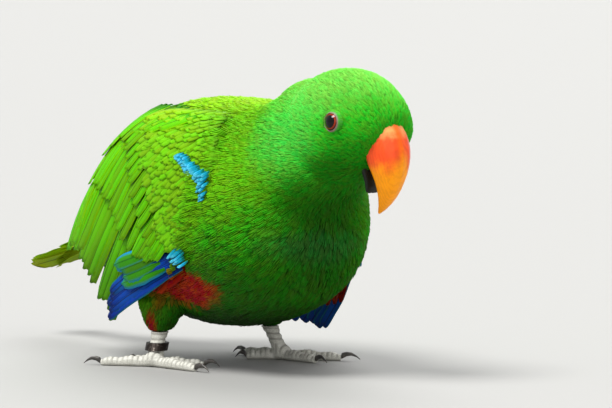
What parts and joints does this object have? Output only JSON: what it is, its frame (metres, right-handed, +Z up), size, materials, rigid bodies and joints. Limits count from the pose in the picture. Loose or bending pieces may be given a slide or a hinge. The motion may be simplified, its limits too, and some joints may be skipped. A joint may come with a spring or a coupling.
{
  "type": "eclectus parrot",
  "caption": "Green male eclectus parrot standing with its body leaning forward, head bent down and wings hanging a little.",
  "frame": {"origin": "on the floor, under the middle of the model's bounding box", "axes": "+X the way the body faces, +Y the bird's left side, +Z up"},
  "size_m": [0.2832, 0.1114, 0.1369],
  "materials": {
    "breast_feathers": "soft green feathers",
    "head_feathers": "smooth bright green feathers",
    "wing_feathers": "satin yellow-green feathers",
    "tail_feathers": "satin green feathers, dark beneath",
    "coral_horn": "satin orange horn, yellow towards the tip",
    "black_horn": "satin black horn",
    "eye": "wet, orange-red iris round a black pupil",
    "foot_skin": "dry grey scaled skin",
    "claw_horn": "satin dark horn",
    "leg_ring": "plain dark metal, unmarked"
  },
  "bodies": {
    "root": {"torso": "breast_feathers", "neck": "head_feathers", "head": "head_feathers", "bill_upper": "coral_horn", "bill_lower": "black_horn", "eye_right": "eye", "eye_left": "eye", "wing_right": "wing_feathers", "wing_left": "wing_feathers", "tail": "tail_feathers", "leg_right": "breast_feathers", "leg_left": "breast_feathers", "foot_right": "foot_skin", "foot_left": "foot_skin", "leg_ring": "leg_ring", "claw_right_front_outer": "claw_horn", "claw_right_front_inner": "claw_horn", "claw_right_hind_outer": "claw_horn", "claw_right_hind_inner": "claw_horn", "claw_left_front_outer": "claw_horn", "claw_left_front_inner": "claw_horn", "claw_left_hind_outer": "claw_horn", "claw_left_hind_inner": "claw_horn"}
  },
  "joints": []
}
